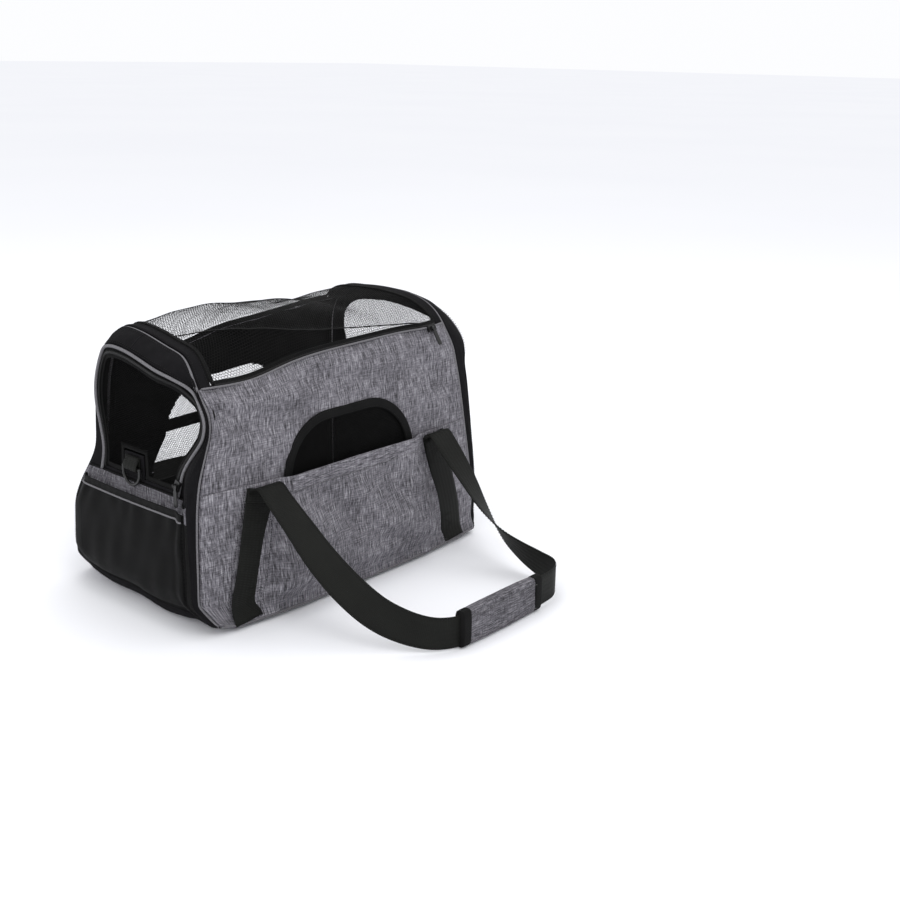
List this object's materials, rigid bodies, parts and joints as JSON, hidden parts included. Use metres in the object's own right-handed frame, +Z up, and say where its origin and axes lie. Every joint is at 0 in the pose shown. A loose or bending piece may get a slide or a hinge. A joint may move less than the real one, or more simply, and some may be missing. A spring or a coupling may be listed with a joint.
{
  "type": "pet carrier bag",
  "caption": "Soft-sided tote for carrying a small pet, with net windows, zipped top and end doors, pockets and webbing handles.",
  "frame": {"origin": "centre of the base, on the floor", "axes": "+X along the front, to the right as the front is seen; the front faces -Y; +Z up"},
  "size_m": [0.4708, 0.6684, 0.323],
  "materials": {
    "heather": "woven melange",
    "black_fabric": "plain weave",
    "net": "open mesh",
    "webbing": "ribbed webbing",
    "piping": "corded piping",
    "zip": "coil zip",
    "slider_metal": "satin black",
    "ring_metal": "satin black",
    "pad": "quilted pad",
    "board": "stiff board",
    "wire": "spring wire"
  },
  "bodies": {
    "bag": {"base_panel": "heather", "base_board": "board", "front_panel": "heather", "front_window_mesh": "net", "front_window_binding": "black_fabric", "front_pocket": "heather", "front_pocket_hem": "heather", "front_webs": "webbing", "back_panel": "heather", "back_window_mesh": "net", "back_window_binding": "black_fabric", "back_upper_band": "webbing", "back_lower_band": "webbing", "back_webs": "webbing", "top_zip_track": "zip", "top_back_tape": "black_fabric", "top_side_tapes": "black_fabric", "left_outer_piping": "piping", "left_hoop_band": "black_fabric", "left_hoop_wire": "wire", "left_inner_piping": "piping", "left_door_track": "zip", "left_end_gusset": "black_fabric", "left_lower_panel": "heather", "left_pocket": "net", "left_pocket_rim": "black_fabric", "left_ring_tab": "webbing", "right_outer_piping": "piping", "right_hoop_band": "black_fabric", "right_hoop_wire": "wire", "right_inner_piping": "piping", "right_door_track": "zip", "right_end_gusset": "black_fabric", "right_lower_panel": "heather", "right_pocket": "net", "right_pocket_rim": "black_fabric", "right_ring_tab": "webbing"},
    "sleeping_pad": {"sleeping_pad": "pad"},
    "front_handle": {"front_handle_strap": "webbing", "grip_back_leaf": "heather", "grip_front_leaf": "heather", "grip_bindings": "black_fabric", "grip_loop_strip": "black_fabric", "grip_hook_strip": "black_fabric"},
    "back_handle": {"back_handle_strap": "webbing"},
    "top_flap": {"top_flap_binding": "black_fabric", "top_mesh": "net"},
    "top_slider": {"top_slider": "slider_metal"},
    "top_pull": {"top_pull": "slider_metal"},
    "left_door": {"left_door_binding": "black_fabric", "left_door_mesh": "net"},
    "left_ring": {"left_d_ring": "ring_metal"},
    "left_door_slider": {"left_door_slider": "slider_metal"},
    "left_door_pull": {"left_door_pull": "slider_metal"},
    "right_door": {"right_door_binding": "black_fabric", "right_door_mesh": "net"},
    "right_ring": {"right_d_ring": "ring_metal"},
    "right_door_slider": {"right_door_slider": "slider_metal"},
    "right_door_pull": {"right_door_pull": "slider_metal"}
  },
  "joints": [
    {"name": "pad_lift", "type": "slide", "parent": "bag", "child": "sleeping_pad", "axis": [0, 0, 1], "range_m": [0, 0.08]},
    {"name": "front_handle_swing", "type": "hinge", "parent": "bag", "child": "front_handle", "pos_m": [0, -0.136, 0.158], "axis": [-1, 0, 0], "range_deg": [0, 125]},
    {"name": "back_handle_swing", "type": "hinge", "parent": "bag", "child": "back_handle", "pos_m": [0, 0.136, 0.158], "axis": [1, 0, 0], "range_deg": [0, 105]},
    {"name": "top_flap_hinge", "type": "hinge", "parent": "bag", "child": "top_flap", "pos_m": [0, 0.10136, 0.28935], "axis": [-1, 0, 0], "range_deg": [0, 100]},
    {"name": "top_slider_run", "type": "slide", "parent": "bag", "child": "top_slider", "axis": [-1, 0, 0], "range_m": [0, 0.32]},
    {"name": "top_pull_swing", "type": "hinge", "parent": "top_slider", "child": "top_pull", "pos_m": [0.16, -0.11148, 0.28799], "axis": [-1, 0, 0], "range_deg": [0, 150]},
    {"name": "left_door_hinge", "type": "hinge", "parent": "bag", "child": "left_door", "pos_m": [-0.21486, 0, 0.15697], "axis": [0, -1, 0], "range_deg": [0, 115]},
    {"name": "left_ring_swing", "type": "hinge", "parent": "bag", "child": "left_ring", "pos_m": [-0.21884, 0, 0.16805], "axis": [0, 1, 0], "range_deg": [0, 165]},
    {"name": "left_door_slider_run", "type": "slide", "parent": "bag", "child": "left_door_slider", "axis": [0.0187, -0.3552, 0.9346], "range_m": [0, 0.03]},
    {"name": "left_door_pull_swing", "type": "hinge", "parent": "left_door_slider", "child": "left_door_pull", "pos_m": [-0.22216, -0.08368, 0.16712], "axis": [0, 1, 0], "range_deg": [0, 150]},
    {"name": "right_door_hinge", "type": "hinge", "parent": "bag", "child": "right_door", "pos_m": [0.21486, 0, 0.15697], "axis": [0, 1, 0], "range_deg": [0, 115]},
    {"name": "right_ring_swing", "type": "hinge", "parent": "bag", "child": "right_ring", "pos_m": [0.21884, 0, 0.16805], "axis": [0, -1, 0], "range_deg": [0, 165]},
    {"name": "right_door_slider_run", "type": "slide", "parent": "bag", "child": "right_door_slider", "axis": [-0.0187, -0.3552, 0.9346], "range_m": [0, 0.03]},
    {"name": "right_door_pull_swing", "type": "hinge", "parent": "right_door_slider", "child": "right_door_pull", "pos_m": [0.22216, -0.08368, 0.16712], "axis": [0, -1, 0], "range_deg": [0, 150]}
  ]
}
